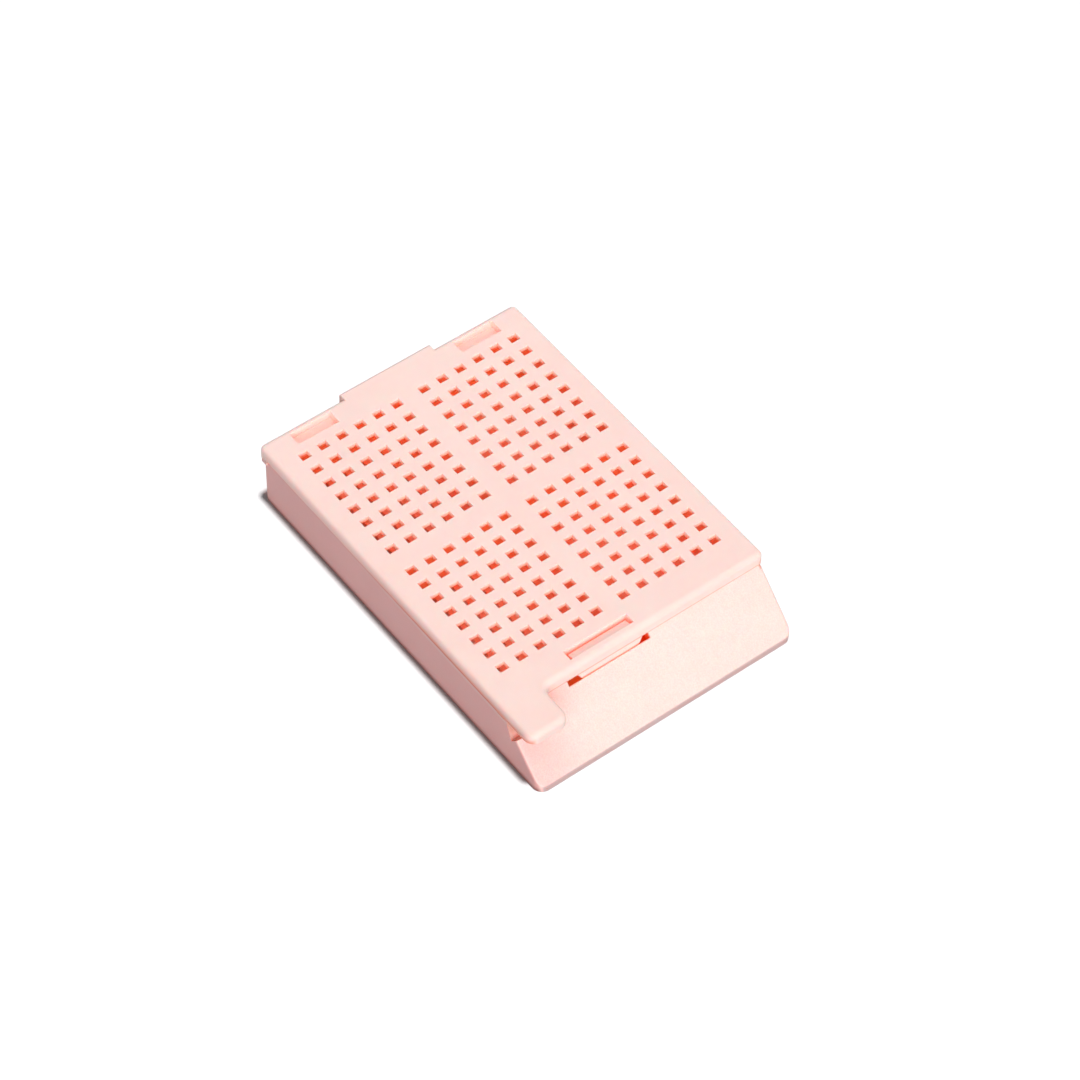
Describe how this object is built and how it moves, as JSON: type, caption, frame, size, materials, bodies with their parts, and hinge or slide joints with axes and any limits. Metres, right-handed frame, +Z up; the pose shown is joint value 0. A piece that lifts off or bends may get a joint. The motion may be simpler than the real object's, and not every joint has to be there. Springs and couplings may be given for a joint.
{
  "type": "tissue cassette",
  "caption": "Closed plastic tissue cassette: perforated tray with cross dividers and a sloping writing plate, under a perforated snap lid on a film hinge.",
  "frame": {"origin": "centre of the bounding box at the foot plane", "axes": "+X across the cassette to the right as seen from the writing plate, +Y along it from the writing plate to the hinge, +Z up"},
  "size_m": [0.0286, 0.042, 0.0071],
  "materials": {
    "base_plastic": "pale pink acetal, satin, with a finely spark-eroded matte writing plate",
    "lid_plastic": "pale pink acetal, satin"
  },
  "bodies": {
    "base": {"base": "base_plastic"},
    "lid": {"lid": "lid_plastic"}
  },
  "joints": [
    {"name": "lid_hinge", "type": "hinge", "parent": "base", "child": "lid", "pos_m": [0, 0.02095, 0.00577], "axis": [-1, 0, 0], "range_deg": [0, 180]}
  ]
}
